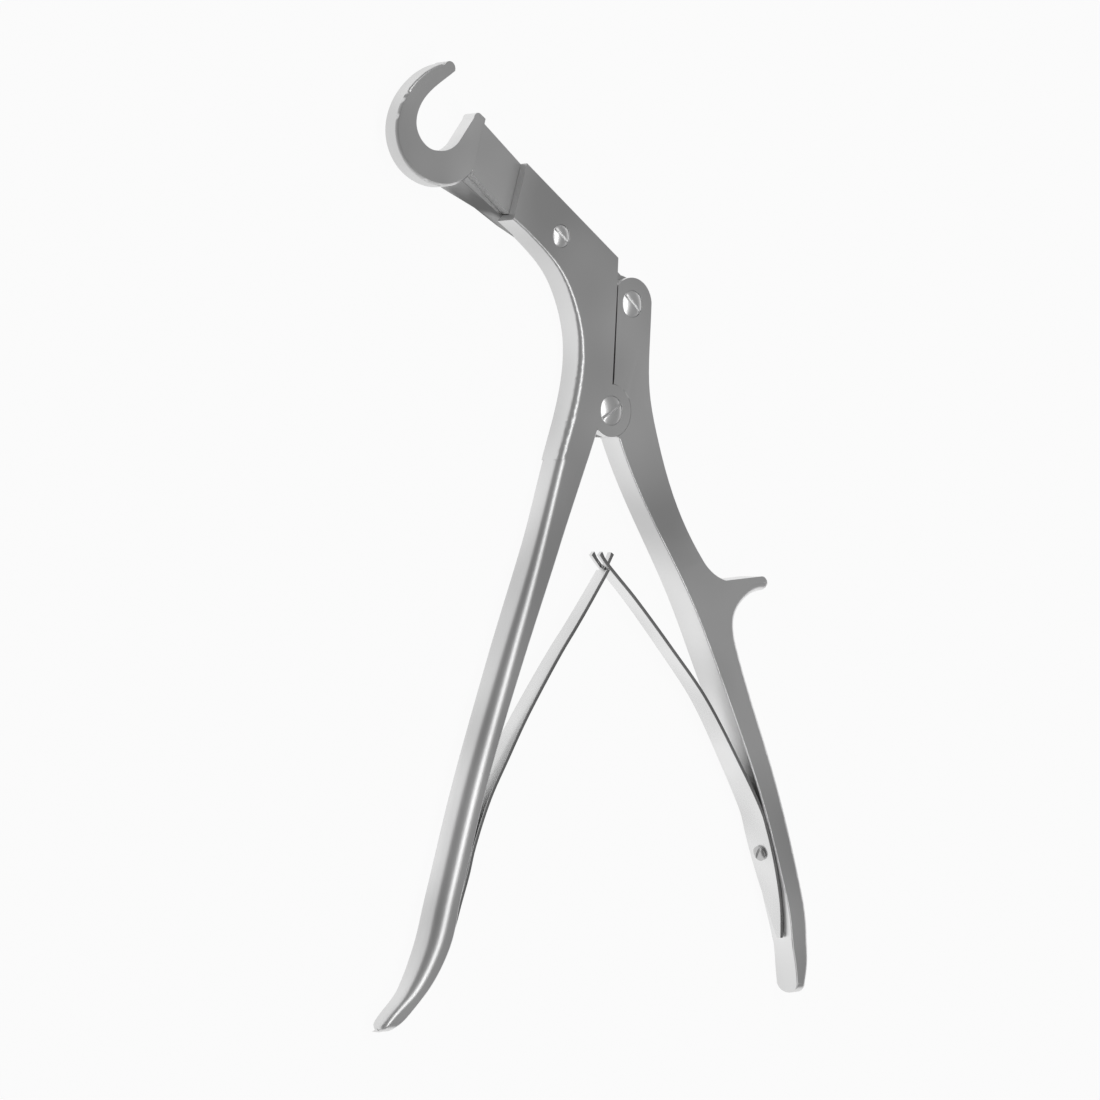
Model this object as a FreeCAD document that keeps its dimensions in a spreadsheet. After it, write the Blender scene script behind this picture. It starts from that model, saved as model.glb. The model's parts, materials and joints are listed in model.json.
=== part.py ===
import FreeCAD, Part

import math
import os

import Sketcher

# Rib shears, lying on their back: X to the right, Y up the instrument, Z out of the front.
# Everything is drawn about the lever's pivot, at mid-thickness, and moved to its own
# origin at the end: the middle of the outline, on the plane that the handles rest on.

Vector = FreeCAD.Vector

sizes = {
    # head and slot
    "headThickness": 8.0,
    "frontCheek": 2.65,
    "tongueThickness": 2.8,
    "slotPlay": 0.1,
    "slotWall": 20.8,
    "headTop": 35.2,
    "slideAngle": 37.7,
    "slideTravel": 16.6,
    "edgePlay": 0.15,
    "discPlay": 0.08,
    # hook
    "hookThickness": 5.0,
    "hookChamfer": 0.7,
    "shoulderRun": 3.4,
    # pivot and link
    "pivotRadius": 7.7,
    "pivotCorner": 2.96,
    "webRadius": 7.2,
    "webTop": 16.0,
    "linkX": 8.3,
    "linkY": 31.3,
    "linkEye": 7.7,
    "linkRise": 2.6,
    "linkPlay": 0.25,
    "tongueRear": 6.8,
    "tongueEye": 5.2,
    "guideX": -19.7,
    "guideY": 49.8,
    # handles
    "gripThickness": 10.4,
    "tipThickness": 6.4,
    "taperTop": -12.0,
    "taperEnd": -80.0,
    "tipTaper": -146.0,
    "tipRoundingRun": 25.0,
    "leftTipEnd": -174.8,
    "rightTipEnd": -174.4,
    "neckRounding": 0.8,
    "gripRounding": 2.6,
    "tipRounding": 1.4,
    "leftInnerRounding": 0.9,
    "rightInnerRounding": 0.4,
    # screws
    "pivotShank": 4.8,
    "pivotHead": 8.6,
    "linkShank": 4.2,
    "linkHead": 7.8,
    "guideShank": 3.4,
    "guideHead": 6.6,
    "springShank": 2.4,
    "springHead": 4.6,
    "headSink": 0.9,
    "rimShare": 0.8,
    "domeHeight": 0.9,
    "driverSlot": 0.8,
    "driverDepth": 0.8,
    "screwPlay": 0.05,
    # springs
    "springThickness": 1.2,
    "springHeadPlay": 0.05,
    "springTip": 4.6,
    "springMiddle": 6.4,
    "springBase": 9.6,
    "springGap": 0.15,
    "springScrewDepth": 4.2,
    "prongGap": 2.2,
    "prongDepth": 4.7,
    "tipTongue": 1.7,
    "tipTongueLength": 4.9,
}

doc = FreeCAD.newDocument("rib_shears")
sheet = doc.addObject("Spreadsheet::Sheet", "Sizes")
for row, (name, value) in enumerate(sizes.items(), start=1):
    sheet.set("A%d" % row, name)
    sheet.set("B%d" % row, str(value))
    sheet.setAlias("B%d" % row, name)
doc.recompute()


class Length(float):
    """A size from the sheet that remembers its formula, so a feature can be bound to it."""

    def __new__(cls, value, formula):
        length = super().__new__(cls, value)
        length.formula = formula
        return length

    def joined(self, sign, other, value):
        return Length(value, "(%s %s %s)" % (self.formula, sign, getattr(other, "formula", other)))

    def __add__(self, other):
        return self.joined("+", other, float(self) + float(other))

    def __sub__(self, other):
        return self.joined("-", other, float(self) - float(other))

    def __mul__(self, other):
        return self.joined("*", other, float(self) * float(other))

    def __truediv__(self, other):
        return self.joined("/", other, float(self) / float(other))

    def __neg__(self):
        return Length(-float(self), "(-1 * %s)" % self.formula)


def size(name):
    return Length(sheet.get(name), "<<Sizes>>." + name)


def bind(item, name, length):
    item.setExpression(name, getattr(length, "formula", str(length)))


class Outline:
    """A closed outline, drawn from point to point with lines, arcs and smooth curves."""

    def __init__(self, start):
        self.first = self.last = Vector(*start)
        self.edges = []

    def line(self, *points):
        for point in points:
            target = Vector(*point)
            self.edges.append(Part.LineSegment(self.last, target))
            self.last = target
        return self

    def arc(self, middle, end):
        target = Vector(*end)
        self.edges.append(Part.Arc(self.last, Vector(*middle), target))
        self.last = target
        return self

    def curve(self, *points):
        spline = Part.BSplineCurve()
        spline.interpolate([self.last] + [Vector(*point) for point in points])
        self.edges.append(spline)
        self.last = Vector(*points[-1])
        return self

    def smooth(self, leaving, arriving, end):
        """A curve that leaves towards one point and arrives from another."""
        bezier = Part.BezierCurve()
        bezier.setPoles([self.last, Vector(*leaving), Vector(*arriving), Vector(*end)])
        self.edges.append(bezier.toBSpline())
        self.last = Vector(*end)
        return self

    def close(self):
        if self.first.distanceToPoint(self.last) > 1e-6:
            self.line((self.first.x, self.first.y))
        return self.edges


diagonal = math.sqrt(0.5)


def circle(x, y, radius):
    return [Part.Circle(Vector(x, y), Vector(0, 0, 1), radius)]


def polar(x, y, radius, degrees):
    turn = math.radians(degrees)
    return (x + radius * math.cos(turn), y + radius * math.sin(turn))


def newBody(name):
    body = doc.addObject("PartDesign::Body", name)
    body.Label = name
    return body


def sketchOn(body, name, role, edges, offset=0.0):
    sketch = body.newObject("Sketcher::SketchObject", name)
    plane = [item for item in body.Origin.OriginFeatures if item.Role == role][0]
    sketch.AttachmentSupport = [(plane, "")]
    sketch.MapMode = "FlatFace"
    bind(sketch, "AttachmentOffset.Base.z", offset)
    sketch.addGeometry(edges, False)
    return sketch


def padBetween(body, name, edges, low, high):
    """Material from one height to another, both above the middle plane."""
    pad = body.newObject("PartDesign::Pad", name)
    pad.Profile = sketchOn(body, name + "Sketch", "XY_Plane", edges, low)
    bind(pad, "Length", high - low)
    body.Tip = pad
    return pad


def cutBetween(body, name, edges, low, high, radius=None):
    """Takes away everything inside an outline, or a circle of a bound radius, between two heights."""
    pocket = body.newObject("PartDesign::Pocket", name)
    sketch = sketchOn(body, name + "Sketch", "XY_Plane", edges, high)
    if radius is not None:
        number = sketch.addConstraint(Sketcher.Constraint("Radius", 0, float(radius)))
        bind(sketch, "Constraints[%d]" % number, radius)
    pocket.Profile = sketch
    bind(pocket, "Length", high - low)
    body.Tip = pocket
    doc.recompute()
    return pocket


def ruled(body, loft, low, lowHeight, high, highHeight):
    """Straight-sided material from one polygon to another above it."""
    foot = Outline(low[0]).line(*low[1:]).close()
    top = Outline(high[0]).line(*high[1:]).close()
    loft.Profile = sketchOn(body, loft.Name + "Foot", "XY_Plane", foot, lowHeight)
    loft.Sections = [sketchOn(body, loft.Name + "Top", "XY_Plane", top, highHeight)]
    loft.Ruled = True
    body.Tip = loft
    doc.recompute()


def cutAcross(body, name, edges):
    """Takes away a side profile, drawn with the length along its first axis, right through."""
    pocket = body.newObject("PartDesign::Pocket", name)
    pocket.Profile = sketchOn(body, name + "Sketch", "YZ_Plane", edges, outside)
    pocket.Length = 2 * outside
    body.Tip = pocket
    doc.recompute()
    return pocket


# Heights of the layers, counted from the middle plane, and distances clear of every piece.
headFront = size("headThickness") / 2
slotFront = headFront - size("frontCheek")
slotBack = slotFront - size("tongueThickness") - size("slotPlay")
tongueFront = slotFront - size("slotPlay") / 2
tongueBack = tongueFront - size("tongueThickness")
hookFront = tongueBack + size("hookThickness")
beyond = size("gripThickness")
outside = 120.0

# The slide runs down to the right; "across" points to the head's top edge.
slide = math.radians(size("slideAngle"))
along = Vector(math.cos(slide), -math.sin(slide), 0)
across = Vector(math.sin(slide), math.cos(slide), 0)


def onSlide(distance, height):
    """The point at a distance down the slide and a height across it."""
    point = along * distance + across * height
    return (point.x, point.y)


def slideCoordinates(x, y):
    point = Vector(x, y, 0)
    return point.dot(along), point.dot(across)


link = (size("linkX"), size("linkY"))
guide = (size("guideX"), size("guideY"))
linkAlong, linkAcross = slideCoordinates(*link)
guideAlong, guideAcross = slideCoordinates(*guide)

# Outer and inner walls of the long left handle, from the head to the tip.
leftOuter = [(-32.4, 50.1), (-24.6, 44.1), (-19.9, 39.4), (-16.3, 33.6), (-12.4, 20.0), (-14.2, 4.5),
             (-20.7, -14.5), (-28.7, -37.6), (-42.7, -71.9), (-55.6, -105.7), (-66.3, -139.0), (-70.3, -152.0),
             (-76.6, -163.9), (-84.9, -172.0), (-87.4, -174.6), (-88.0, -178.0)]
leftInner = [(-19.2, -37.6), (-34.6, -71.8), (-48.0, -105.5), (-58.5, -138.8), (-61.8, -151.0),
             (-68.2, -162.4), (-76.0, -170.6), (-82.6, -175.6), (-86.0, -178.0)]

leftRoot = polar(0, 0, size("pivotRadius") + size("pivotCorner"), -126.2)

# Outer and inner walls of the right handle, below its finger prong.
rightOuter = [(54.4, -55.4), (50.2, -60.4), (51.4, -70.3), (65.0, -103.5), (77.5, -140.1), (80.7, -152.3),
              (82.0, -163.4), (80.9, -171.3), (79.6, -178.0)]
rightInner = [(16.1, -31.7), (31.2, -55.3), (39.7, -71.6), (55.0, -103.2), (61.9, -119.3), (67.8, -136.4),
              (71.9, -149.5), (75.0, -164.5), (75.9, -171.9), (76.4, -178.0)]
rightRoot = (3.0, -7.9)


def halfProfile(side, tipEnd):
    """The waste outside the front or back surface: thin at the head, thick along the grip, round at the tip."""
    narrow = side * headFront
    thick = side * size("gripThickness") / 2
    nose = size("tipThickness") / 2
    waste = side * beyond
    taperTop, taperEnd, tipTaper = size("taperTop"), size("taperEnd"), size("tipTaper")
    middle = (taperTop + taperEnd) / 2
    turn = tipEnd + nose
    ease = (tipTaper - turn) / 3
    shape = Outline((outside, waste)).line((outside, narrow), (taperTop, narrow))
    shape.smooth((middle, narrow), (middle, thick), (taperEnd, thick)).line((tipTaper, thick))
    shape.smooth((tipTaper - ease, thick), (turn + ease, side * nose), (turn, side * nose))
    shape.arc((turn - diagonal * nose, side * diagonal * nose), (tipEnd, 0))
    return shape.line((tipEnd - beyond, 0), (tipEnd - beyond, waste)).close()


def thin(body, tipEnd):
    cutAcross(body, "FrontTaper", halfProfile(1, tipEnd))
    cutAcross(body, "BackTaper", halfProfile(-1, tipEnd))


def screwHole(body, name, place, shank, head, low, high):
    """A clearance hole for the shank, and a seat that takes the screw's head."""
    hole = size(shank) / 2 + size("screwPlay")
    cutBetween(body, name + "Hole", circle(*place, hole), low, high, hole)
    if head:
        seat = size(head) / 2 + size("screwPlay")
        cutBetween(body, name + "Seat", circle(*place, seat), high - size("headSink"), high, seat)


def rounding(y):
    """The radius along a handle's outer edges: small at the head, full on the grip, less at the tip."""
    small, full = size("neckRounding"), size("gripRounding")
    if y < size("tipTaper"):
        share = min((size("tipTaper") - y) / size("tipRoundingRun"), 1)
        return full + (size("tipRounding") - full) * share
    share = (size("taperTop") - y) / (size("taperTop") - size("taperEnd"))
    return small + (full - small) * min(max(share, 0), 1)


def onWall(edge, wall):
    """Whether an edge of the front or back surface follows a handle's wall."""
    near = 0.02
    start, run = edge.FirstParameter, edge.LastParameter - edge.FirstParameter
    points = [edge.valueAt(start + run * share) for share in (0.02, 0.35, 0.5, 0.98)]
    upright = math.hypot(points[0].x - points[-1].x, points[0].y - points[-1].y) < near
    if upright and abs(points[0].z) > 1:
        return False
    return all(wall.distToShape(Part.Vertex(point.x, point.y, 0))[0] < near for point in points)


def roundEdges(name, body, outer, inner, innerRadius):
    """A forging with its outer edges rounded and its inner ones eased."""
    doc.recompute()
    outer = Part.Compound([edge.toShape() for edge in outer.edges])
    inner = Part.Compound([edge.toShape() for edge in inner.edges])
    piece = doc.addObject("Part::Fillet", name)
    piece.Base = body
    radii = []
    for number, edge in enumerate(body.Shape.Edges, start=1):
        first, last = edge.valueAt(edge.FirstParameter), edge.valueAt(edge.LastParameter)
        if onWall(edge, outer):
            radii.append((number, rounding(first.y), rounding(last.y)))
        elif onWall(edge, inner):
            radii.append((number, innerRadius, innerRadius))
    piece.Edges = radii
    doc.recompute()
    return piece


def machine(name, rounded):
    """The body that the rounded forging is machined into."""
    body = newBody(name)
    body.BaseFeature = rounded
    doc.recompute()
    return body


# The frame: one forging with the long handle, the slotted head and the fixed blade.
def makeFrame():
    blank = newBody("frame_forging")
    radius = size("pivotRadius")
    headTop = size("headTop")
    cheekTop = (-32.9, 70.0)
    cheekTopAlong = slideCoordinates(*cheekTop)[0]
    cheekEnd = (-38.0, 53.6)
    shape = Outline(cheekTop).line((2.7, 44.5), (2.3, 36.6))
    shape.line(polar(0, 0, radius, 87.5)).arc((radius, 0), polar(0, 0, radius, -132))
    shape.line(leftRoot).curve(*leftInner).line(leftOuter[-1])
    shape.curve(*reversed(leftOuter[:-1])).line(cheekEnd)
    grown = size("gripThickness") / 2 + 1
    padBetween(blank, "Forging", shape.close(), -grown, grown)
    thin(blank, size("leftTipEnd"))
    outer = Outline(leftOuter[-1]).curve(*reversed(leftOuter[:-1])).line(cheekEnd)
    inner = Outline(leftRoot).curve(*leftInner)
    body = machine("frame", roundEdges("frame_rounded", blank, outer, inner, size("leftInnerRounding")))

    # fixed blade: its cutting edge lies in the slot's back plane, below the hook
    lower = [(-31.0, 48.5), (-46.0, 57.1), (-58.5, 62.2), (-58.6, 70.6), (-49.8, 81.8),
             onSlide(cheekTopAlong - 18, headTop), onSlide(cheekTopAlong + 3, headTop), (-31.0, 60.0)]
    upper = [(-32.0, 51.2), (-45.0, 59.6), (-56.0, 66.4), (-60.0, 71.9), (-51.9, 82.0),
             onSlide(cheekTopAlong - 20, headTop), onSlide(cheekTopAlong + 3, headTop), (-31.0, 60.0)]
    loft = body.newObject("PartDesign::AdditiveLoft", "FixedBlade")
    ruled(body, loft, lower, -headFront, upper, slotBack)

    # the slot that the tongue slides in, open towards the hook, the top and the lever
    wall = size("slotWall")
    slot = Outline(onSlide(-outside, wall)).line(onSlide(-18, wall), (-1.2, 22.0), (-1.2, 0), (30, 0))
    slot.line((outside, outside), onSlide(-outside, outside))
    cutBetween(body, "TongueSlot", slot.close(), slotBack, slotFront)
    cutBetween(body, "WebSlot", circle(0, 0, radius + size("discPlay")), slotBack, slotFront)

    screwHole(body, "Pivot", (0, 0), "pivotShank", "pivotHead", -headFront, headFront)
    screwHole(body, "Guide", guide, "guideShank", "guideHead", -headFront, headFront)
    return body


# The lever: the short handle with its finger prong and the fork that holds the slider.
def makeLever():
    blank = newBody("lever_forging")
    eye = size("linkEye")
    web = size("webRadius")
    seat = size("pivotRadius") + size("discPlay")
    shape = Outline(polar(*link, eye, 137)).arc(polar(*link, eye, 70), polar(*link, eye, 5))
    shape.curve((15.2, 19.0), (15.2, 6.0), (18.2, -7.0), (25.3, -25.8), (36.2, -43.3))
    shape.curve((40.2, -47.2), (45.6, -49.6))
    shape.line((60.6, -48.4)).arc((62.9, -50.2), (61.2, -52.7))
    shape.curve(*rightOuter)
    shape.line(rightInner[-1]).curve(*reversed(rightInner[:-1]), rightRoot)
    shape.line(polar(0, 0, web, -80)).arc((-web, 0), polar(0, 0, web, 84)).line((1.1, 9.0))
    grown = size("gripThickness") / 2 + 1
    padBetween(blank, "Forging", shape.close(), -grown, grown)
    thin(blank, size("rightTipEnd"))
    outer = Outline((61.2, -52.7)).curve(*rightOuter)
    inner = Outline(rightInner[-1]).curve(*reversed(rightInner[:-1]), rightRoot)
    body = machine("lever", roundEdges("lever_rounded", blank, outer, inner, size("rightInnerRounding")))

    # room for the frame's two cheeks, in front of the web and behind it
    cheek = Outline(polar(0, 0, seat, 84)).arc((seat, 0), polar(0, 0, seat, -74))
    cheek.line((-12, -7.6), (-12, 7.8))
    cheek = cheek.close()
    cutBetween(body, "FrontCheekRoom", cheek, slotFront, beyond)
    cutBetween(body, "BackCheekRoom", cheek, -beyond, slotBack)

    # the fork's gap, which the slider's tongue works in
    top = size("webTop")
    gap = Outline((-20, top)).line((40, top), (40, outside), (-20, outside)).close()
    cutBetween(body, "ForkGap", gap, slotBack, slotFront)

    screwHole(body, "Pivot", (0, 0), "pivotShank", None, -headFront, headFront)
    screwHole(body, "Link", link, "linkShank", "linkHead", -headFront, headFront)
    return body


# The slider: the hook and its tongue, in one piece.
def makeHookSlider():
    body = newBody("hook_slider")
    top = size("headTop")
    edge = size("slotWall") + size("edgePlay")
    run = size("shoulderRun")
    creaseTop = slideCoordinates(-48.6, 81.2)[0]
    creaseFoot = slideCoordinates(-54.2, 64.6)[0]
    eye = size("tongueEye")

    hook = Outline((-59.6, 94.5))
    hook.curve((-67.7, 89.0), (-72.6, 83.6), (-73.8, 78.2), (-71.2, 73.6), (-66.0, 71.7))
    hook.curve((-61.4, 72.4), (-58.1, 74.7)).line((-52.5, 81.8)).arc((-51.4, 83.2), (-49.9, 82.9))
    hook.line(onSlide(creaseTop, top), onSlide(creaseFoot, edge))
    hook.curve((-62.0, 61.9), (-70.4, 63.0), (-77.4, 67.6), (-81.0, 75.6), (-79.6, 83.2), (-74.7, 90.0),
               (-68.8, 94.4), (-62.8, 96.7))
    rim = hook.edges[-1].toShape()
    hook.arc((-59.8, 96.2), (-59.6, 94.5))
    blank = padBetween(body, "Hook", hook.edges, tongueBack, hookFront)
    doc.recompute()
    front = []
    for number, line in enumerate(blank.Shape.Edges, start=1):
        height = line.valueAt(line.FirstParameter).z
        if height > headFront - 1 and onWall(line, rim):
            front.append("Edge%d" % number)
    chamfer = body.newObject("PartDesign::Chamfer", "HookRim")
    chamfer.Base = (blank, front)
    bind(chamfer, "Size", size("hookChamfer"))
    body.Tip = chamfer
    doc.recompute()

    rear = linkAlong - size("tongueRear")
    tongue = Outline(onSlide(creaseTop - 1, top)).line(onSlide(rear, top))
    tongue.arc(onSlide(linkAlong + eye / 2, linkAcross + eye * math.sin(math.pi / 3)),
               onSlide(linkAlong + eye, linkAcross))
    tongue.arc(onSlide(linkAlong + eye * diagonal, linkAcross - eye * diagonal),
               onSlide(linkAlong, linkAcross - eye))
    tongue.line(onSlide(linkAlong - 4 * eye, edge), onSlide(creaseFoot - 1, edge))
    padBetween(body, "Tongue", tongue.close(), tongueBack, tongueFront)

    # the hook's back slopes down to the tongue
    low = [onSlide(creaseTop - 1, top), onSlide(creaseTop + run, top), onSlide(creaseFoot + run, edge),
           onSlide(creaseFoot - 1, edge)]
    high = [onSlide(creaseTop - 1, top), onSlide(creaseTop, top), onSlide(creaseFoot, edge),
            onSlide(creaseFoot - 1, edge)]
    slope = body.newObject("PartDesign::AdditiveLoft", "Shoulder")
    ruled(body, slope, low, tongueBack + 1, high, hookFront)

    # the guide screw's slot runs along the tongue, the link screw's across it
    play = size("edgePlay")
    half = size("guideShank") / 2 + play
    far = guideAlong - size("slideTravel") - play
    near = guideAlong + play
    guideSlot = Outline(onSlide(far, guideAcross + half)).line(onSlide(near, guideAcross + half))
    guideSlot.arc(onSlide(near + half, guideAcross), onSlide(near, guideAcross - half))
    guideSlot.line(onSlide(far, guideAcross - half))
    guideSlot.arc(onSlide(far - half, guideAcross), onSlide(far, guideAcross + half))
    cutBetween(body, "GuideSlot", guideSlot.close(), tongueBack, tongueFront)
    half = size("linkShank") / 2 + size("linkPlay")
    rise = size("linkRise")
    low, high = linkAcross - play, linkAcross + rise
    linkSlot = Outline(onSlide(linkAlong - half, low)).line(onSlide(linkAlong - half, high))
    linkSlot.arc(onSlide(linkAlong, high + half), onSlide(linkAlong + half, high))
    linkSlot.line(onSlide(linkAlong + half, low))
    linkSlot.arc(onSlide(linkAlong, low - half), onSlide(linkAlong - half, low))
    cutBetween(body, "LinkSlot", linkSlot.close(), tongueBack, tongueFront)
    return body


# A domed, slotted screw, drawn head up with its seat's floor at height zero.
def makeScrew(name, shank, head, length, slotTurn):
    body = newBody(name)
    rim = size(head) / 2
    stem = size(shank) / 2
    point = stem / 4
    edge = size("headSink") * size("rimShare")
    top = edge + size("domeHeight")
    ball = (rim ** 2 + size("domeHeight") ** 2) / (2 * size("domeHeight"))
    side = Outline((0, -length)).line((stem - point, -length), (stem, point - length), (stem, 0), (rim, 0))
    side.line((rim, edge)).arc((rim / 2, top - ball + math.sqrt(ball ** 2 - rim ** 2 / 4)), (0, top))
    turned = body.newObject("PartDesign::Revolution", "Turned")
    turned.Profile = sketchOn(body, "TurnedSketch", "XZ_Plane", side.close())
    turned.ReferenceAxis = (turned.Profile[0], ["V_Axis"])
    turned.Angle = 360
    body.Tip = turned

    half = size("driverSlot") / 2
    reach = rim + half
    turn = FreeCAD.Rotation(Vector(0, 0, 1), slotTurn)
    corners = ((reach, half), (-reach, half), (-reach, -half), (reach, -half))
    bar = [turn.multVec(Vector(x, y, 0)) for x, y in corners]
    cutBetween(body, "DriverSlot", Outline(bar[0]).line(*bar[1:]).close(), top - size("driverDepth"), top)
    return body


class WallSpot:
    """A spot on a handle's inner wall: the point, and the way into the space between the handles."""

    def __init__(self, wall, x, y):
        place = wall.parameter(Vector(x, y))
        way = wall.tangent(place)[0]
        self.point = wall.value(place)
        self.inward = Vector(way.y, -way.x)
        if self.inward.x * self.point.x > 0:
            self.inward = self.inward * -1

    def off(self, distance):
        return self.point + self.inward * distance

    def facing(self, distance):
        return FreeCAD.Placement(self.off(distance), FreeCAD.Rotation(Vector(0, 0, 1), self.inward))


def drill(body, name, spot, depth, height):
    """A round hole for a spring's screw, square to the wall."""
    hole = body.newObject("PartDesign::SubtractiveCylinder", name)
    bind(hole, "Radius", size("springShank") / 2 + size("screwPlay"))
    hole.Height = height
    hole.Placement = spot.facing(-depth)
    body.Tip = hole
    doc.recompute()


def beside(curve, distance, count=30):
    """Points at a distance from a curve, to the left of the way it runs."""
    points = []
    for step in range(count + 1):
        place = curve.FirstParameter + (curve.LastParameter - curve.FirstParameter) * step / count
        way = curve.tangent(place)[0]
        point = curve.value(place)
        points.append((point.x - way.y * distance, point.y + way.x * distance))
    return points


# A leaf spring: a bent strip, leaf-shaped in width, screwed flat to the inside of a handle.
def makeSpring(name, face, spot):
    body = newBody(name)
    shape = Outline(face[0]).curve(*face[1:])
    back = beside(shape.edges[0], size("springThickness"))
    edges = shape.line(back[-1]).curve(*reversed(back[:-1])).close()
    widest = size("springBase") / 2
    middle = size("springMiddle") / 2
    tip = size("springTip") / 2
    padBetween(body, "Strip", edges, -widest, widest)
    top = max(point[1] for point in face)
    foot = min(point[1] for point in face)
    broad = spot.point.y
    corner = tip / 3
    blunt = corner * (1 - diagonal)
    for side, label in ((1, "Front"), (-1, "Back")):
        waste = Outline((outside, side * beyond)).line((outside, side * (tip - corner)))
        waste.line((top, side * (tip - corner)))
        waste.arc((top - blunt, side * (tip - blunt)), (top - corner, side * tip)).line((top - 8, side * tip))
        waste.curve(((top + broad) / 2, side * middle), (broad + 14, side * widest * 0.93),
                    (broad, side * widest * 0.98), ((broad + foot) / 2, side * widest * 0.72),
                    (foot - 0.2, side * 0.8))
        waste.line((foot - beyond, side * 0.8), (foot - beyond, side * beyond))
        cutAcross(body, label + "Edge", waste.close())
    drill(body, "ScrewHole", spot, springSeat, 2 * springSeat + 2)
    return body


def hugging(wall, *near):
    """Spots on the visible face of a spring, where it lies along a handle's wall."""
    spots = [WallSpot(wall, x, y).off(springSeat) for x, y in near]
    return [(spot.x, spot.y) for spot in spots]


def makeLeftSpring():
    """It follows the long handle's wall and ends in a narrow tongue."""
    face = hugging(leftWall, (-66, -158), (-62, -149), (-58.8, -140), (-56.3, -132), (-54, -125))
    face += [(-46.6, -111.4), (-39.5, -100.3), (-32.1, -89.1), (-23.8, -77.8), (-17.2, -69.3), (-12.4, -63.6),
             (-7.8, -57.9), (-3.0, -52.1), (-0.6, -47.2), (3.3, -41.4)]
    body = makeSpring("left_spring", face, leftSpot)
    narrow = size("tipTongue") / 2
    top = face[-1][1]
    shoulder = top - size("tipTongueLength")
    fillet = 0.3
    for side, label in ((1, "Front"), (-1, "Back")):
        waste = Outline((shoulder - fillet, side * beyond)).line((shoulder - fillet, side * (narrow + fillet)))
        waste.line((shoulder, side * narrow), (top - narrow, side * narrow))
        waste.arc((top - narrow * (1 - diagonal), side * narrow * diagonal), (top, 0))
        waste.line((outside, 0), (outside, side * beyond))
        cutAcross(body, label + "Shoulder", waste.close())
    return body


def makeRightSpring():
    """It follows the lever's wall and ends in a fork round the other spring's tongue."""
    face = [(-3.5, -41.7), (0.0, -45.4), (10.5, -55.1), (24.9, -69.9), (38.6, -85.0), (52.3, -105.5)]
    face += hugging(rightWall, (62.5, -119), (64.8, -125), (66.6, -131), (68.8, -138), (72, -149), (74, -158))
    body = makeSpring("right_spring", face, rightSpot)
    gap = size("prongGap") / 2
    top = face[0][1]
    depth = top - size("prongDepth")
    notch = Outline((depth, -gap)).line((outside, -gap), (outside, gap), (depth, gap))
    cutAcross(body, "ForkNotch", notch.arc((depth - gap, 0), (depth, -gap)).edges)
    return body


# where the visible face of a spring stands off the wall that it is screwed to
springSeat = size("springGap") + size("springThickness")
leftWall = Outline(leftRoot).curve(*leftInner).edges[0]
rightWall = Outline(rightInner[-1]).curve(*reversed(rightInner[:-1]), rightRoot).edges[0]
leftSpot = WallSpot(leftWall, -56.3, -132.0)
rightSpot = WallSpot(rightWall, 66.6, -131.0)

frame = makeFrame()
lever = makeLever()
slider = makeHookSlider()
leftSpring = makeLeftSpring()
rightSpring = makeRightSpring()
drilled = size("springScrewDepth") + springSeat
drill(frame, "SpringScrewHole", leftSpot, size("springScrewDepth"), drilled)
drill(lever, "SpringScrewHole", rightSpot, size("springScrewDepth"), drilled)

# screws: three through the head, flush at its back, and one for each spring
seatHeight = headFront - size("headSink")
flush = seatHeight + headFront
headSeat = springSeat + size("springHeadPlay")
springGrip = headSeat + size("springScrewDepth") - size("springGap")
pivotScrew = makeScrew("pivot_screw", "pivotShank", "pivotHead", flush, 32)
linkScrew = makeScrew("link_screw", "linkShank", "linkHead", flush, -42)
guideScrew = makeScrew("guide_screw", "guideShank", "guideHead", flush, -40)
leftScrew = makeScrew("left_spring_screw", "springShank", "springHead", springGrip, 20)
rightScrew = makeScrew("right_spring_screw", "springShank", "springHead", springGrip, 75)
pivotScrew.Placement.Base = Vector(0, 0, seatHeight)
linkScrew.Placement.Base = Vector(*link, seatHeight)
guideScrew.Placement.Base = Vector(*guide, seatHeight)
leftScrew.Placement = leftSpot.facing(headSeat)
rightScrew.Placement = rightSpot.facing(headSeat)
doc.recompute()

# the shared origin: the middle of the outline, on the plane that the handles rest on
nodes = [frame, lever, slider, leftSpring, rightSpring]
nodes += [pivotScrew, linkScrew, guideScrew, leftScrew, rightScrew]
extent = FreeCAD.BoundBox()
for node in nodes:
    extent.add(node.Shape.optimalBoundingBox(False))
shift = Vector(-extent.Center.x, -extent.Center.y, -extent.ZMin)
for node in nodes:
    node.Placement.Base = node.Placement.Base + shift
doc.recompute()
print("pivot at %.3f %.3f %.3f" % tuple(shift))
print("size %.2f x %.2f x %.2f" % (extent.XLength, extent.YLength, extent.ZLength))

for item in doc.Objects:
    if "Invalid" in item.State or "Error" in item.State:
        raise RuntimeError(item.Label + " did not build")
    shape = getattr(item, "Shape", None)
    if shape is not None and (shape.isNull() or not shape.isValid()):
        raise RuntimeError(item.Label + " has no sound shape")

os.makedirs("parts", exist_ok=True)
for node in nodes:
    solids = len(node.Shape.Solids)
    if solids != 1:
        raise RuntimeError("%s is %d solids" % (node.Label, solids))
    node.Shape.exportStep("parts/%s.step" % node.Label)
    print("%-20s volume %.0f" % (node.Label, node.Shape.Volume))
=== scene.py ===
import json
import math

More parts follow.
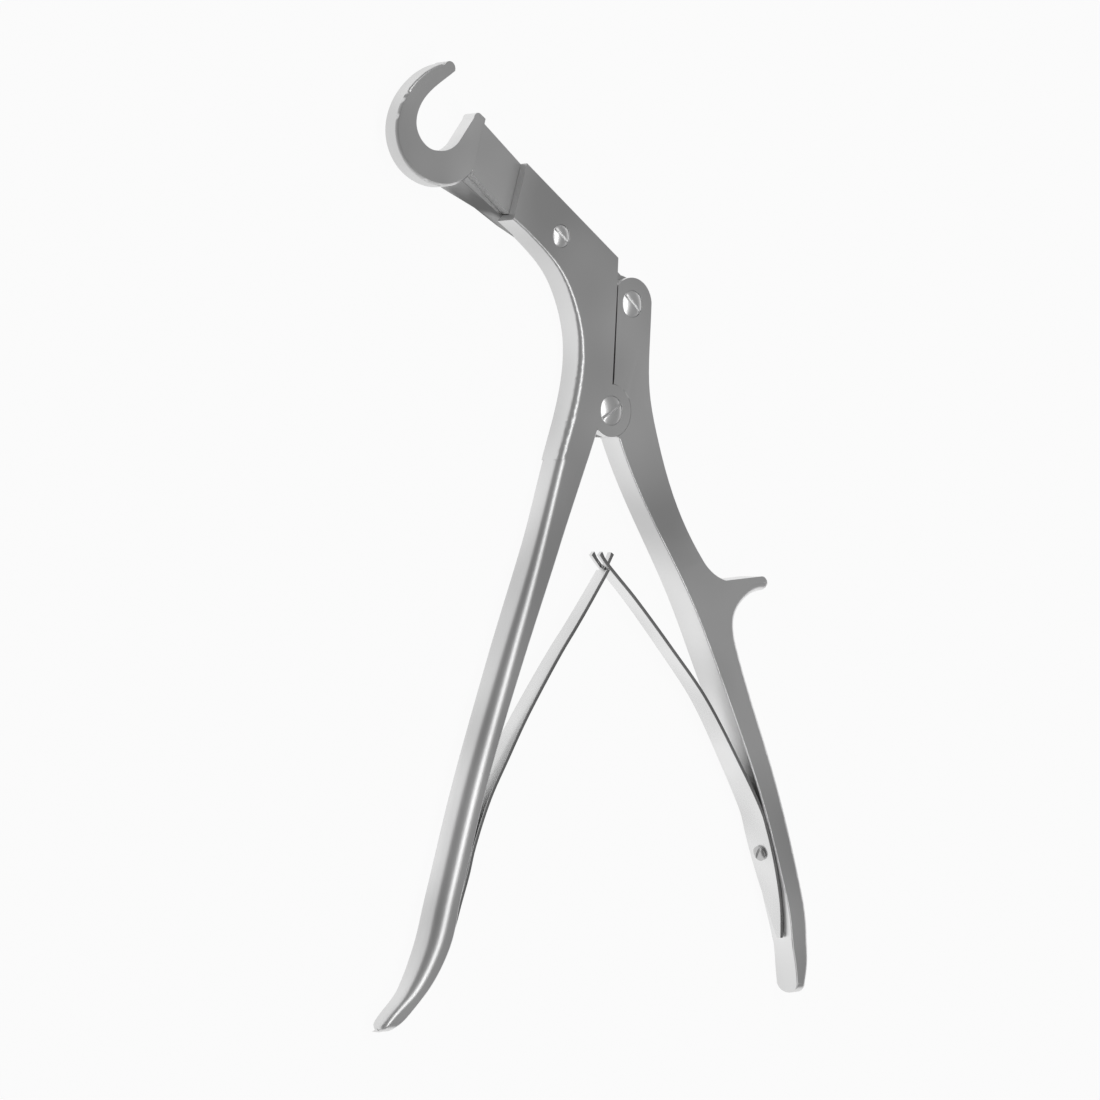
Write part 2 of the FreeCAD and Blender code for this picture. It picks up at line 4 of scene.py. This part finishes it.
import bpy
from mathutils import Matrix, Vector

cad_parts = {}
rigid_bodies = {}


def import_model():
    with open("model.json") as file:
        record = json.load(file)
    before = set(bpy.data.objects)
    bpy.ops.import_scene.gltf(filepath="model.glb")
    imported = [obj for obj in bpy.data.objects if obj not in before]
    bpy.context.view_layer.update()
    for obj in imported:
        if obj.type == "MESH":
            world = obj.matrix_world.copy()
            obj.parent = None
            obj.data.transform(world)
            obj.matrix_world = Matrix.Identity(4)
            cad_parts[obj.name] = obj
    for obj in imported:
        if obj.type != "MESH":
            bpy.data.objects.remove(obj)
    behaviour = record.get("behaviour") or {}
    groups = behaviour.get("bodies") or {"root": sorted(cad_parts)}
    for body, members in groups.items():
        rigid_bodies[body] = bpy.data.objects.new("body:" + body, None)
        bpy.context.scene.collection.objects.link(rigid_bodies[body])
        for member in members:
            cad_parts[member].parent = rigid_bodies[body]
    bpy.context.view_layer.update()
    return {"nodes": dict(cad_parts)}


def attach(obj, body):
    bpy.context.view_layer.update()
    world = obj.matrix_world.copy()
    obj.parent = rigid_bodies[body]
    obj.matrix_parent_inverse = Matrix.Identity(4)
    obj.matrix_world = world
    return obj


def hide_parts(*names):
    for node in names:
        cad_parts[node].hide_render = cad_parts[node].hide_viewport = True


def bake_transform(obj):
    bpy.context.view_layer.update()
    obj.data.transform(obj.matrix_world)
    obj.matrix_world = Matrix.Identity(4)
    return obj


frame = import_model()

# All places are in metres. The lever turns about this point.
pivot = Vector((0.001884, 0.038821, 0.0052))


# selecting and editing

def deselectAll():
    if bpy.context.object and bpy.context.object.mode != "OBJECT":
        bpy.ops.object.mode_set(mode="OBJECT")
    bpy.ops.object.select_all(action="DESELECT")


def makeActive(piece):
    deselectAll()
    piece.select_set(True)
    bpy.context.view_layer.objects.active = piece


def editAll(piece):
    makeActive(piece)
    bpy.ops.object.mode_set(mode="EDIT")
    bpy.ops.mesh.select_all(action="SELECT")


def selectCorners(piece, wanted):
    # selects only the corners whose place passes the test, and stays in edit mode
    editAll(piece)
    bpy.ops.mesh.select_all(action="DESELECT")
    bpy.ops.object.mode_set(mode="OBJECT")
    for corner in piece.data.vertices:
        corner.select = wanted(corner.co)
    bpy.ops.object.mode_set(mode="EDIT")


def isWithin(place, zone):
    # seen from above, inside the zone's two corners
    return all(zone["from"][axis] < place[axis] < zone["to"][axis] for axis in (0, 1))


def applyModifiers(piece):
    makeActive(piece)
    for modifier in list(piece.modifiers):
        bpy.ops.object.modifier_apply(modifier=modifier.name)


def fromPivot(x, y, z=0.0):
    # a place given in millimetres from the pivot, at mid thickness
    return pivot + Vector((x, y, z)) / 1000


# shader building

class Wire:
    # a node socket that takes part in sums
    def __init__(self, graph, socket):
        self.graph = graph
        self.socket = socket

    def math(self, operation, first, second):
        return self.graph.add("ShaderNodeMath", {"operation": operation}, {0: first, 1: second})

    def __add__(self, other):
        return self.math("ADD", self, other)

    def __radd__(self, other):
        return self.math("ADD", other, self)

    def __sub__(self, other):
        return self.math("SUBTRACT", self, other)

    def __rsub__(self, other):
        return self.math("SUBTRACT", other, self)

    def __mul__(self, other):
        return self.math("MULTIPLY", self, other)

    def __rmul__(self, other):
        return self.math("MULTIPLY", other, self)


class Graph:
    def __init__(self, tree):
        self.tree = tree
        tree.nodes.clear()

    def add(self, kind, settings=None, inputs=None, output=0):
        node = self.tree.nodes.new(kind)
        for key, value in (settings or {}).items():
            if key == "stops":
                ramp = node.color_ramp
                while len(ramp.elements) < len(value):
                    ramp.elements.new(0.5)
                for stop, (place, grey) in zip(ramp.elements, value):
                    stop.position = place
                    stop.color = (grey, grey, grey, 1)
            else:
                setattr(node, key, value)
        for key, value in (inputs or {}).items():
            if isinstance(value, Wire):
                self.tree.links.new(value.socket, node.inputs[key])
            else:
                node.inputs[key].default_value = value
        return Wire(self, node.outputs[output]) if len(node.outputs) else node

    def noise(self, place, scale, detail):
        return self.add("ShaderNodeTexNoise", {}, {"Vector": place, "Scale": scale, "Detail": detail})


def grey(value):
    return (value, value, value, 1)


def makeSteel(name, look):
    steel = bpy.data.materials.new(name)
    steel.use_nodes = True
    graph = Graph(steel.node_tree)
    place = graph.add("ShaderNodeTexCoord", output="Object")
    # long grinding marks follow the piece, the fine grain has no direction
    brushed = graph.add("ShaderNodeMapping", {}, {"Vector": place, "Scale": (1.0, look["stretch"], 1.0),
                                                  "Rotation": (0, 0, math.radians(look["turn"]))})
    marks = graph.noise(brushed, look["marks"], 4.0)
    grain = graph.noise(place, look["grain"], 2.0)
    cloud = graph.noise(place, look["cloud"], 1.0)
    tone = graph.add("ShaderNodeValToRGB", {"stops": ((0.35, 0.0), (0.65, 1.0))}, {"Fac": cloud})
    shade = graph.add("ShaderNodeMix", {"data_type": "RGBA"},
                      {"Factor": tone, 6: look["dark"], 7: look["light"]}, output=2)
    streak = graph.add("ShaderNodeMix", {"data_type": "RGBA", "blend_type": "MULTIPLY"},
                       {"Factor": marks * look["streaks"], 6: shade, 7: grey(0.72)}, output=2)
    rough = look["rough"] + (cloud - 0.5) * look["roughSpread"] + (marks - 0.5) * 0.06
    bump = graph.add("ShaderNodeBump", {}, {"Strength": look["bump"], "Distance": 0.00002,
                                            "Height": marks * 0.6 + grain * 0.4})
    surface = graph.add("ShaderNodeBsdfPrincipled", {}, {"Base Color": streak, "Metallic": 1.0,
                                                         "Roughness": rough, "Normal": bump})
    graph.add("ShaderNodeOutputMaterial", {}, {"Surface": surface})
    return steel


forgedLook = {"turn": 20, "stretch": 0.05, "marks": 2600, "grain": 5200, "cloud": 22, "streaks": 0.06,
              "dark": grey(0.60), "light": grey(0.84), "rough": 0.35, "roughSpread": 0.04, "bump": 0.03}
leverLook = dict(forgedLook, turn=-22)
hookLook = dict(forgedLook, turn=52, cloud=30)
screwLook = {"turn": 0, "stretch": 0.5, "marks": 3800, "grain": 6000, "cloud": 120, "streaks": 0.1,
             "dark": grey(0.84), "light": grey(0.92), "rough": 0.30, "roughSpread": 0.04, "bump": 0.03}
springLook = {"turn": -40, "stretch": 0.05, "marks": 3000, "grain": 5200, "cloud": 40, "streaks": 0.1,
              "dark": grey(0.72), "light": grey(0.84), "rough": 0.28, "roughSpread": 0.04, "bump": 0.03}
highlightEdgeLook = {"turn": 0, "stretch": 0.3, "marks": 3800, "grain": 6000, "cloud": 90, "streaks": 0.05,
            "dark": grey(0.84), "light": grey(0.90), "rough": 0.36, "roughSpread": 0.04, "bump": 0.03}

forgedSteel = makeSteel("forgedSteel", forgedLook)
leverSteel = makeSteel("leverSteel", leverLook)
hookSteel = makeSteel("hookSteel", hookLook)
screwSteel = makeSteel("screwSteel", screwLook)
springSteel = makeSteel("springSteel", springLook)
# a darker copy of the screw steel: painted shade on the spring screws' domes
shadedScrewSteel = makeSteel("shadedScrewSteel", dict(screwLook, dark=grey(0.40), light=grey(0.52), rough=0.22))
# the bevels are painted lighter than the faces, as a highlight along the sharp edges
highlightEdgeSteel = makeSteel("highlightEdgeSteel", highlightEdgeLook)
# a darker copy of the forged steel: painted shade under the hook's tongue and on its lower side wall
paintedShadeSteel = makeSteel("paintedShadeSteel", dict(forgedLook, dark=grey(0.30), light=grey(0.42)))
springEdge = makeSteel("springEdge", dict(springLook, dark=grey(0.34), light=grey(0.44)))
print("steels made")


# each piece starts as a copy of its machined form, merged
def machinedCopy(node, name, steel, look):
    makeActive(frame["nodes"][node])
    bpy.ops.object.duplicate()
    piece = bpy.context.object
    bpy.ops.object.parent_clear(type="CLEAR_KEEP_TRANSFORM")
    piece.name = name
    piece.data.materials.clear()
    piece.data.materials.append(steel)
    # slot 1 holds the lighter bevel steel, the painted highlight on the edges
    piece.data.materials.append(highlightEdgeSteel)
    editAll(piece)
    bpy.ops.mesh.remove_doubles(threshold=look["merge"])
    if look["flat"]:
        bpy.ops.mesh.dissolve_limited(angle_limit=math.radians(look["flat"]))
    bpy.ops.object.mode_set(mode="OBJECT")
    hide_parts(node)
    return piece


def isInward(faces):
    # true where the smaller face rises from the larger one, so the edge between them is an inside corner
    small, large = sorted(faces, key=lambda face: face.area)
    return (small.center - large.center).dot(large.normal) > 0.000001


def breakEdges(piece, look, keep=()):
    # the sharp outside edges get a narrow bevel, painted lighter as a highlight, but not in the round zones
    # to keep
    editAll(piece)
    bpy.ops.mesh.select_mode(type="EDGE")
    bpy.ops.mesh.select_all(action="DESELECT")
    bpy.ops.mesh.edges_select_sharp(sharpness=math.radians(look["sharp"]))
    bpy.ops.object.mode_set(mode="OBJECT")
    for place, radius in keep:
        for edge in piece.data.edges:
            ends = [piece.data.vertices[corner].co - place for corner in edge.vertices]
            if all(math.hypot(end.x, end.y) < radius for end in ends):
                edge.select = False
    sides = {}
    for face in piece.data.polygons:
        for key in face.edge_keys:
            sides.setdefault(key, []).append(face)
    for edge in piece.data.edges:
        faces = sides.get(edge.key, [])
        if edge.select and (len(faces) != 2 or isInward(faces)):
            edge.select = False
    bpy.ops.object.mode_set(mode="EDIT")
    bpy.ops.mesh.bevel(offset=look["edge"], segments=2, affect="EDGES", material=1, clamp_overlap=True)
    bpy.ops.mesh.select_mode(type="VERT")
    bpy.ops.object.mode_set(mode="OBJECT")


smoothBelow = 32  # degrees between faces that still shade as one


def finishPiece(piece, slot, body=None):
    makeActive(piece)
    bpy.ops.object.shade_smooth_by_angle(angle=math.radians(smoothBelow))
    if slot == "steel":
        weighted = piece.modifiers.new("normals", "WEIGHTED_NORMAL")
        weighted.keep_sharp = True
        applyModifiers(piece)
    if body:
        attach(piece, body)
    print(piece.name, "has", len(piece.data.polygons), "faces")


def smoothAt(points, y):
    # a smooth line through the points, read at a height
    points = sorted(points, key=lambda point: point[1])
    slopes = []
    for place in range(len(points)):
        low, high = points[max(place - 1, 0)], points[min(place + 1, len(points) - 1)]
        slopes.append((high[0] - low[0]) / (high[1] - low[1]))
    for place in range(len(points) - 1):
        (lowX, lowY), (highX, highY) = points[place], points[place + 1]
        if y <= highY or place == len(points) - 2:
            step = highY - lowY
            share = (y - lowY) / step
            bend = slopes[place] * step * (1 - share) - slopes[place + 1] * step * share
            straight = (highX - lowX) * (1 - 2 * share)
            return lowX + (highX - lowX) * share + share * (1 - share) * (bend - straight)


def pushedBar(name, sections, columns=()):
    # a flat section pushed from height to height: each has its height, its two sides and half its thickness
    y, left, right, half = sections[0]
    deselectAll()
    bpy.ops.mesh.primitive_plane_add(size=1, location=fromPivot((left + right) / 2, y),
                                     rotation=(math.pi / 2, 0, 0))
    bar = bpy.context.object
    bar.name = name
    bar.scale = ((right - left) / 1000, 2 * half / 1000, 1)
    bpy.ops.object.transform_apply(location=True, rotation=True, scale=True)
    editAll(bar)
    for share in columns:
        bpy.ops.mesh.select_all(action="SELECT")
        bpy.ops.mesh.bisect(plane_co=fromPivot(0, 0, half * share), plane_no=(0, 0, 1))
    bpy.ops.mesh.select_all(action="SELECT")
    push(sections)
    return bar


def push(sections):
    for (y, left, right, half), (nextY, nextLeft, nextRight, nextHalf) in zip(sections, sections[1:]):
        move = Vector((nextLeft + nextRight - left - right, 2 * (nextY - y), 0)) / 2000
        bpy.ops.mesh.extrude_region_move(TRANSFORM_OT_translate={"value": move})
        bpy.ops.transform.resize(value=((nextRight - nextLeft) / (right - left), 1, nextHalf / half),
                                 center_override=fromPivot((nextLeft + nextRight) / 2, nextY))


def thickenTip(piece, tip):
    # the forging stays thick right to its round end
    selectCorners(piece, lambda place: place.y < fromPivot(0, tip["below"]).y)
    bpy.ops.transform.resize(value=(1, 1, tip["size"]), center_override=fromPivot(*tip["place"]),
                             use_proportional_edit=True, proportional_edit_falloff="SMOOTH",
                             proportional_size=tip["fade"])
    bpy.ops.object.mode_set(mode="OBJECT")


def squareEnd(turn, place):
    # the last section is turned across the leaf
    bpy.ops.transform.rotate(value=math.radians(turn), orient_axis="Z", center_override=place)


# the handles below the neck keep their forged rounding, and the disc round the pivot stays sharp
grips = (fromPivot(0, -130), 0.115)
pivotDisc = (pivot, 0.0082)

# the long handle with the slotted head and the blade
headEdges = {"merge": 0.000004, "flat": 0.3, "edge": 0.00020, "sharp": 40}
longHandle = machinedCopy("frame", "longHandle", forgedSteel, headEdges)
breakEdges(longHandle, headEdges, [pivotDisc, grips])

# the sloping faces of the blade under the tongue are painted dark as the shade there, and its root runs into
# the neck
blade = {"from": fromPivot(-60, 48), "to": fromPivot(-31, 66), "slope": (0.5, 0.95),
         "root": fromPivot(-31, 48.5, -4), "near": 0.0003, "sink": (-0.0062, 0.00378, 0)}
longHandle.data.materials.append(paintedShadeSteel)
for face in longHandle.data.polygons:
    slopes = blade["slope"][0] < face.normal.z < blade["slope"][1]
    if slopes and face.center.z < pivot.z and isWithin(face.center, blade):
        face.material_index = 2
selectCorners(longHandle, lambda place: (place - blade["root"]).length < blade["near"])
bpy.ops.transform.translate(value=blade["sink"])
bpy.ops.object.mode_set(mode="OBJECT")

# its grip is forged anew below the head, with a full round on the palm's side.
# In millimetres from the pivot: its two outlines, half its thickness and its roundings, each read at a height
grip = {"top": -14.5, "end": -174.78, "nose": 3.2, "rungs": 64,
        "thickest": 5.2, "share": 0.96, "segments": 10,
        "outer": [(-12.4, 20.0), (-14.2, 4.5), (-20.7, -14.5), (-28.7, -37.6), (-42.7, -71.9),
                  (-55.6, -105.7), (-66.3, -139.0), (-70.3, -152.0), (-76.6, -163.9), (-83.4, -170.4),
                  (-85.4, -172.8), (-85.7, -174.8)],
        "inner": [(-6.3, -8.6), (-19.2, -37.6), (-34.6, -71.8), (-48.0, -105.5), (-58.5, -138.8),
                  (-61.8, -151.0), (-68.2, -162.4), (-76.0, -170.6), (-82.6, -175.6)],
        "half": [(4.0, -12), (4.0, -16), (4.2, -35), (4.6, -46), (5.0, -60), (5.2, -80), (5.2, -146),
                 (5.0, -154), (4.4, -161), (3.6, -167), (3.2, -171.6)],
        "front": [(2.7, -12), (2.7, -14.5), (3.1, -35), (4.0, -55), (4.8, -80), (5.1, -100), (5.1, -146),
                  (3.6, -160), (2.4, -168), (2.0, -178)],
        "back": [(0.87, -12), (0.87, -14.5), (2.2, -35), (3.8, -55), (4.8, -80), (5.1, -100), (5.1, -146),
                 (3.6, -160), (2.4, -168), (2.0, -178)],
        "ease": [(0.5, -12), (0.9, -30), (0.9, -150), (0.7, -178)]}
editAll(longHandle)
bpy.ops.mesh.bisect(plane_co=fromPivot(0, grip["top"]), plane_no=(0, 1, 0), clear_inner=True)
bpy.ops.object.mode_set(mode="OBJECT")
sections = []
for rung in range(grip["rungs"] + 1):
    y = grip["top"] + (grip["end"] - grip["top"]) * math.sin(math.pi / 2 * rung / grip["rungs"])
    into = max(grip["end"] + grip["nose"] - y, 0) / grip["nose"]
    half = min(smoothAt(grip["half"], max(y, grip["end"] + grip["nose"])), grip["thickest"])
    half = half * math.sqrt(max(1 - into ** 2, 0.01))
    sections.append((y, smoothAt(grip["outer"], y), smoothAt(grip["inner"], y), half))
longGrip = pushedBar("longGrip", sections)
bpy.ops.mesh.select_all(action="SELECT")
bpy.ops.mesh.normals_make_consistent(inside=False)
bpy.ops.object.mode_set(mode="OBJECT")
weights = longGrip.data.attributes.new("bevel_weight_edge", "FLOAT", "EDGE")
for edge in longGrip.data.edges:
    ends = [(longGrip.data.vertices[corner].co - pivot) * 1000 for corner in edge.vertices]
    if abs(ends[0].y - ends[1].y) > 0.001:
        y = (ends[0].y + ends[1].y) / 2
        left = ends[0].x < (smoothAt(grip["outer"], ends[0].y) + smoothAt(grip["inner"], ends[0].y)) / 2
        rounding = ("front" if ends[0].z > 0 else "back") if left else "ease"
        radius = min(smoothAt(grip[rounding], y), grip["share"] * min(abs(end.z) for end in ends))
        weights.data[edge.index].value = radius / grip["thickest"]
bevel = longGrip.modifiers.new("rounding", "BEVEL")
bevel.limit_method = "WEIGHT"
bevel.width = grip["thickest"] / 1000
bevel.segments = grip["segments"]
bevel.use_clamp_overlap = False
applyModifiers(longGrip)
# the grip's slots: its steel, then the lighter bevel steel painted as a highlight
longGrip.data.materials.append(forgedSteel)
longGrip.data.materials.append(highlightEdgeSteel)
finishPiece(longHandle, "steel", "frame")
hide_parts("frame")
finishPiece(longGrip, "steel", "frame")

# the short handle with the finger prong
leverEdges = {"merge": 0.000004, "flat": 0.3, "edge": 0.00020, "sharp": 40}
shortTip = {"below": -169.5, "place": (78, -172), "size": 1.4, "fade": 0.012}
shortHandle = machinedCopy("lever", "shortHandle", leverSteel, leverEdges)
thickenTip(shortHandle, shortTip)
breakEdges(shortHandle, leverEdges, [pivotDisc, grips])
finishPiece(shortHandle, "steel", "lever")

# the hook with its tongue, whose lower side wall is painted dark as shade, and whose ring keeps its machined
# edges
hookEdges = {"merge": 0.000004, "flat": 0.3, "edge": 0.00022, "sharp": 55}
hookRing = (fromPivot(-67.4, 83.1), 0.0185)
tongueSide = {"from": fromPivot(-56.5, 52), "to": fromPivot(-37, 69),
              "facing": Vector((-0.61, -0.79, 0)), "least": 0.9}
hookAndTongue = machinedCopy("hook_slider", "hookAndTongue", hookSteel, hookEdges)
hookAndTongue.data.materials.append(paintedShadeSteel)
for face in hookAndTongue.data.polygons:
    if isWithin(face.center, tongueSide) and face.normal.dot(tongueSide["facing"]) > tongueSide["least"]:
        face.material_index = 2
breakEdges(hookAndTongue, hookEdges, [hookRing])
finishPiece(hookAndTongue, "steel", "slider")

# the domed screws; the spring screws' darker steel is painted shade on their domes
screwEdges = {"merge": 0.000004, "flat": 0.3, "edge": 0.00008, "sharp": 45}
screws = {"pivot_screw": ("pivotScrew", "frame"), "guide_screw": ("guideScrew", "frame"),
          "link_screw": ("linkScrew", "lever"), "left_spring_screw": ("leftSpringScrew", "frame"),
          "right_spring_screw": ("rightSpringScrew", "lever")}
for node, (name, body) in screws.items():
    screw = machinedCopy(node, name, shadedScrewSteel if "spring" in node else screwSteel, screwEdges)
    breakEdges(screw, screwEdges)
    finishPiece(screw, "steel", body)


# the leaf springs, screwed to their handles, with a tongue on one hooked into a fork on the other
leaf = {"thick": 1.2, "seat": 1.431, "rungs": 60, "tipRungs": 6, "edge": 0.00014, "sharp": 50, "darkSideTilt": 0.6}


def leafSections(spring, side, low, high, count):
    sections = []
    for rung in range(count + 1):
        y = low + (high - low) * rung / count
        face = smoothAt(spring["path"], y)
        slope = (smoothAt(spring["path"], y + 0.1) - smoothAt(spring["path"], y - 0.1)) / 0.2
        back = face + side * leaf["thick"] * math.hypot(1, slope)
        sections.append((y, min(face, back), max(face, back), smoothAt(spring["half"], y)))
    return sections


def finishLeaf(piece, node):
    editAll(piece)
    bpy.ops.mesh.normals_make_consistent(inside=False)
    bpy.ops.object.mode_set(mode="OBJECT")
    piece.data.materials.append(springSteel)
    piece.data.materials.append(springEdge)
    bevel = piece.modifiers.new("edges", "BEVEL")
    bevel.width = leaf["edge"]
    bevel.segments = 2
    bevel.limit_method = "ANGLE"
    bevel.angle_limit = math.radians(leaf["sharp"])
    applyModifiers(piece)
    # the thin sides that face front and back are painted darker than the broad faces
    for face in piece.data.polygons:
        face.material_index = 1 if abs(face.normal.z) > leaf["darkSideTilt"] else 0
    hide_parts(node)
    finishPiece(piece, "spring_steel")
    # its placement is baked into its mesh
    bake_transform(piece)


def offWall(wall, heights, side):
    # where a spring's face lies when its back rests on a handle
    return [(smoothAt(wall, y) + side * leaf["seat"], y) for y in heights]


leftLeaf = {"path": offWall(grip["inner"], (-158, -149, -140, -132, -125), 1)
            + [(-46.6, -111.4), (-39.5, -100.3), (-32.1, -89.1), (-23.8, -77.8), (-17.2, -69.3),
               (-12.4, -63.6), (-7.8, -57.9), (-3.3, -52.1), (0.9, -46.6), (4.2, -41.4)],
            "half": [(0.8, -158), (3.4, -145), (4.7, -132), (4.45, -118), (3.2, -87), (2.3, -49), (2.3, -40)],
            "low": -157.6, "shoulder": -46.3, "high": -41.6, "tongue": [(0.85, -50), (0.85, -40)], "turn": 33}
wide = leafSections(leftLeaf, -1, leftLeaf["low"], leftLeaf["shoulder"], leaf["rungs"])
narrow = leafSections(dict(leftLeaf, half=leftLeaf["tongue"]), -1, leftLeaf["shoulder"], leftLeaf["high"],
                      leaf["tipRungs"])
leftLeafSpring = pushedBar("leftLeafSpring", wide + narrow)
squareEnd(leftLeaf["turn"], fromPivot(3.6, leftLeaf["high"]))
finishLeaf(leftLeafSpring, "left_spring")

leverWall = [(3.0, -7.9), (16.1, -31.7), (31.2, -55.3), (39.7, -71.6), (55.0, -103.2), (61.9, -119.3),
             (67.8, -136.4), (71.9, -149.5), (75.0, -164.5), (75.9, -171.9)]
rightLeaf = {"path": offWall(leverWall, (-158, -149, -138, -131, -125, -119), -1)
             + [(52.3, -105.5), (38.6, -85.0), (24.9, -69.9), (10.5, -55.1), (0.0, -45.4), (-3.5, -41.7)],
             "half": [(0.8, -158), (3.4, -145), (4.7, -131), (4.45, -117), (3.2, -86), (2.3, -50),
                      (2.3, -40)],
             "low": -157.6, "notch": -46.6, "high": -41.9, "columns": (0.478, -0.478), "turn": -42}
whole = leafSections(rightLeaf, 1, rightLeaf["low"], rightLeaf["notch"], leaf["rungs"])
rightLeafSpring = pushedBar("rightLeafSpring", whole, rightLeaf["columns"])
# only the two outer columns go on, so a fork is left
bpy.ops.mesh.select_mode(type="FACE")
bpy.ops.mesh.select_all(action="DESELECT")
bpy.ops.object.mode_set(mode="OBJECT")
for face in rightLeafSpring.data.polygons:
    atEnd = face.center.y > fromPivot(0, rightLeaf["notch"] - 0.01).y
    face.select = atEnd and abs(face.center.z - pivot.z) > 0.0005
bpy.ops.object.mode_set(mode="EDIT")
push(leafSections(rightLeaf, 1, rightLeaf["notch"], rightLeaf["high"], leaf["tipRungs"]))
squareEnd(rightLeaf["turn"], fromPivot(-3.2, rightLeaf["high"]))
bpy.ops.mesh.select_mode(type="VERT")
finishLeaf(rightLeafSpring, "right_spring")


# floor, light and camera
studio = {"floorSize": 6.0, "floorWhite": 0.9, "glow": 0.93, "room": 0.26, "wallLow": 0.08, "wallHigh": 0.26,
          "width": 0.45, "length": 2.2, "height": 1.2, "shift": 0.05, "power": 5.6}

deselectAll()
bpy.ops.mesh.primitive_plane_add(size=studio["floorSize"], location=(0, 0, 0))
floor = bpy.context.object
floor.name = "floor"
bpy.ops.object.transform_apply(location=True, rotation=True, scale=True)
floorPaint = bpy.data.materials.new("floorPaint")
floorPaint.use_nodes = True
graph = Graph(floorPaint.node_tree)
seen = graph.add("ShaderNodeLightPath", output="Is Camera Ray")
for kind in ("Is Glossy Ray", "Is Transmission Ray"):
    ray = graph.add("ShaderNodeLightPath", output=kind)
    seen = graph.add("ShaderNodeMath", {"operation": "MAXIMUM"}, {0: seen, 1: ray})
dull = graph.add("ShaderNodeBsdfDiffuse", {}, {"Color": grey(studio["floorWhite"])})
glow = graph.add("ShaderNodeEmission", {}, {"Color": grey(1.0), "Strength": 1.0})
paper = graph.add("ShaderNodeMixShader", {}, {"Fac": seen * studio["glow"], 1: dull, 2: glow})
graph.add("ShaderNodeOutputMaterial", {}, {"Surface": paper})
floor.data.materials.append(floorPaint)

world = bpy.data.worlds.new("studioWorld")
bpy.context.scene.world = world
world.use_nodes = True
graph = Graph(world.node_tree)
direction = graph.add("ShaderNodeTexCoord", output="Generated")
height = graph.add("ShaderNodeSeparateXYZ", {}, {"Vector": direction}, output="Z")
# white walls low down, a plain grey room above
level = graph.add("ShaderNodeMapRange", {"interpolation_type": "SMOOTHSTEP"},
                  {"Value": height, "From Min": studio["wallLow"], "From Max": studio["wallHigh"],
                   "To Min": 1.0, "To Max": studio["room"]})
graph.add("ShaderNodeOutputWorld", {}, {"Surface": graph.add(
    "ShaderNodeBackground", {}, {"Color": grey(1.0), "Strength": level})})

deselectAll()
bpy.ops.object.light_add(type="AREA", location=(studio["shift"], 0, studio["height"]))
softbox = bpy.context.object
softbox.name = "overheadSoftbox"
softbox.data.shape = "RECTANGLE"
softbox.data.size = studio["width"]
softbox.data.size_y = studio["length"]
softbox.data.energy = studio["power"]

view = {"swing": 42, "distance": 1.3, "lens": 147.63, "target": fromPivot(-20.48, -40.50)}
swing = math.radians(view["swing"])
away = Vector((-math.sin(swing), 0, math.cos(swing))) * view["distance"]
bpy.ops.object.camera_add(location=view["target"] + away, rotation=(0, -swing, 0))
camera = bpy.context.object
camera.data.lens = view["lens"]
camera.data.sensor_width = 36
camera.data.clip_start = 0.01
bpy.context.scene.camera = camera
bpy.context.scene.view_settings.view_transform = "Standard"
print("studio ready")
